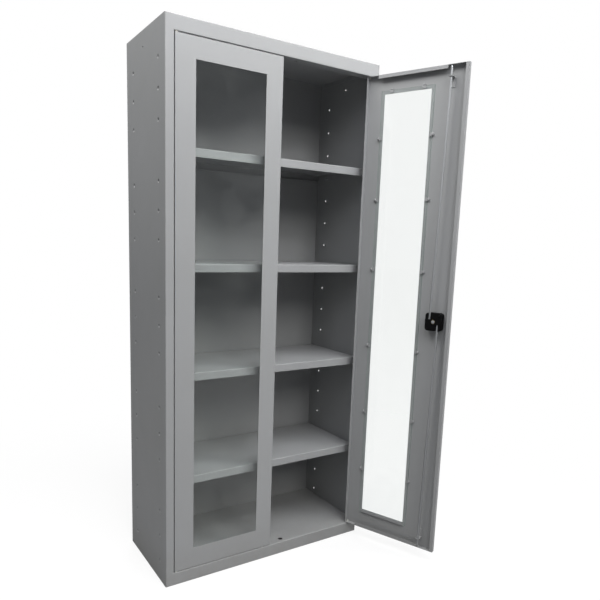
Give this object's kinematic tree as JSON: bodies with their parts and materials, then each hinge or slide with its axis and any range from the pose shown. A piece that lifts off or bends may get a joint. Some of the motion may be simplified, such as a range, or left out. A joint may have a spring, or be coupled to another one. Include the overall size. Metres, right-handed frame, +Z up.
{
  "type": "glass door medical cabinet",
  "caption": "Free-standing grey steel medical cabinet with glazed hinged doors, shelves on studs in hole rows, a two-rod lock on one door and slide bolts on the other.",
  "frame": {"origin": "on the floor, under the middle of the carcass, on the foot of the channel that carries the floor pan", "axes": "+Z up, +X to the right as seen from the front, doors face -Y when shut"},
  "size_m": [1.0236, 0.7803, 2],
  "materials": {
    "grey_paint": "satin powder coat, light grey",
    "zinc_plate": "bright zinc plated steel",
    "window_glass": "clear flat glass",
    "black_plastic": "moulded black plastic",
    "brass": "machined brass",
    "chrome": "chrome plated casting",
    "nylon": "natural nylon"
  },
  "bodies": {
    "root": {"side_left": "grey_paint", "side_right": "grey_paint", "top_panel": "grey_paint", "floor_pan": "grey_paint", "back_panel": "grey_paint", "floor_stiffener": "grey_paint", "shelf_1": "grey_paint", "shelf_2": "grey_paint", "shelf_3": "grey_paint", "shelf_4": "grey_paint", "shelf_1_stud_left_front": "zinc_plate", "shelf_1_stud_left_rear": "zinc_plate", "shelf_1_stud_right_front": "zinc_plate", "shelf_1_stud_right_rear": "zinc_plate", "shelf_2_stud_left_front": "zinc_plate", "shelf_2_stud_left_rear": "zinc_plate", "shelf_2_stud_right_front": "zinc_plate", "shelf_2_stud_right_rear": "zinc_plate", "shelf_3_stud_left_front": "zinc_plate", "shelf_3_stud_left_rear": "zinc_plate", "shelf_3_stud_right_front": "zinc_plate", "shelf_3_stud_right_rear": "zinc_plate", "shelf_4_stud_left_front": "zinc_plate", "shelf_4_stud_left_rear": "zinc_plate", "shelf_4_stud_right_front": "zinc_plate", "shelf_4_stud_right_rear": "zinc_plate", "pivot_pin_left_bottom": "zinc_plate", "pivot_pin_left_top": "zinc_plate", "pivot_pin_right_bottom": "zinc_plate", "pivot_pin_right_top": "zinc_plate"},
    "left_door": {"door_left": "grey_paint", "glass_left": "window_glass", "pivot_bush_left_bottom": "nylon", "pivot_bush_left_top": "nylon", "bolt_guide_upper": "zinc_plate", "bolt_guide_lower": "zinc_plate"},
    "right_door": {"door_right": "grey_paint", "glass_right": "window_glass", "pivot_bush_right_bottom": "nylon", "pivot_bush_right_top": "nylon", "rod_guide_upper": "grey_paint", "rod_guide_lower": "grey_paint", "lock_housing": "black_plastic", "lock_cover": "black_plastic", "handle_rose": "chrome"},
    "handle": {"wing_handle": "chrome", "lock_pinion": "brass", "spindle_screw": "zinc_plate"},
    "key_plug": {"key_plug": "brass"},
    "upper_rod": {"lock_rod_upper": "zinc_plate"},
    "lower_rod": {"lock_rod_lower": "zinc_plate"},
    "upper_bolt": {"slide_bolt_upper": "zinc_plate"},
    "lower_bolt": {"slide_bolt_lower": "zinc_plate"}
  },
  "joints": [
    {"name": "left_door_hinge", "type": "hinge", "parent": "root", "child": "left_door", "pos_m": [-0.41, -0.194, 0], "axis": [0, 0, -1], "range_deg": [0, 111]},
    {"name": "right_door_hinge", "type": "hinge", "parent": "root", "child": "right_door", "pos_m": [0.41, -0.194, 0], "axis": [0, 0, 1], "range_deg": [-111, 0]},
    {"name": "handle_turn", "type": "hinge", "parent": "right_door", "child": "handle", "pos_m": [0.53951, -0.51463, 1], "axis": [0.9336, 0.3584, 0], "range_deg": [0, 90]},
    {"name": "key_turn", "type": "hinge", "parent": "handle", "child": "key_plug", "pos_m": [0.53951, -0.51463, 1], "axis": [0.9336, 0.3584, 0], "range_deg": [0, 90]},
    {"name": "upper_rod_slide", "type": "slide", "parent": "right_door", "child": "upper_rod", "axis": [0, 0, 1], "range_m": [0, 0.01884]},
    {"name": "lower_rod_slide", "type": "slide", "parent": "right_door", "child": "lower_rod", "axis": [0, 0, -1], "range_m": [0, 0.01884]},
    {"name": "upper_bolt_slide", "type": "slide", "parent": "left_door", "child": "upper_bolt", "axis": [0, 0, 1], "range_m": [0, 0.015]},
    {"name": "lower_bolt_slide", "type": "slide", "parent": "left_door", "child": "lower_bolt", "axis": [0, 0, -1], "range_m": [0, 0.015]}
  ],
  "couplings": [
    {"joint": "handle_turn", "follows": "upper_rod_slide", "rad_per_m": 83.333},
    {"joint": "lower_rod_slide", "follows": "upper_rod_slide", "ratio": 1}
  ]
}
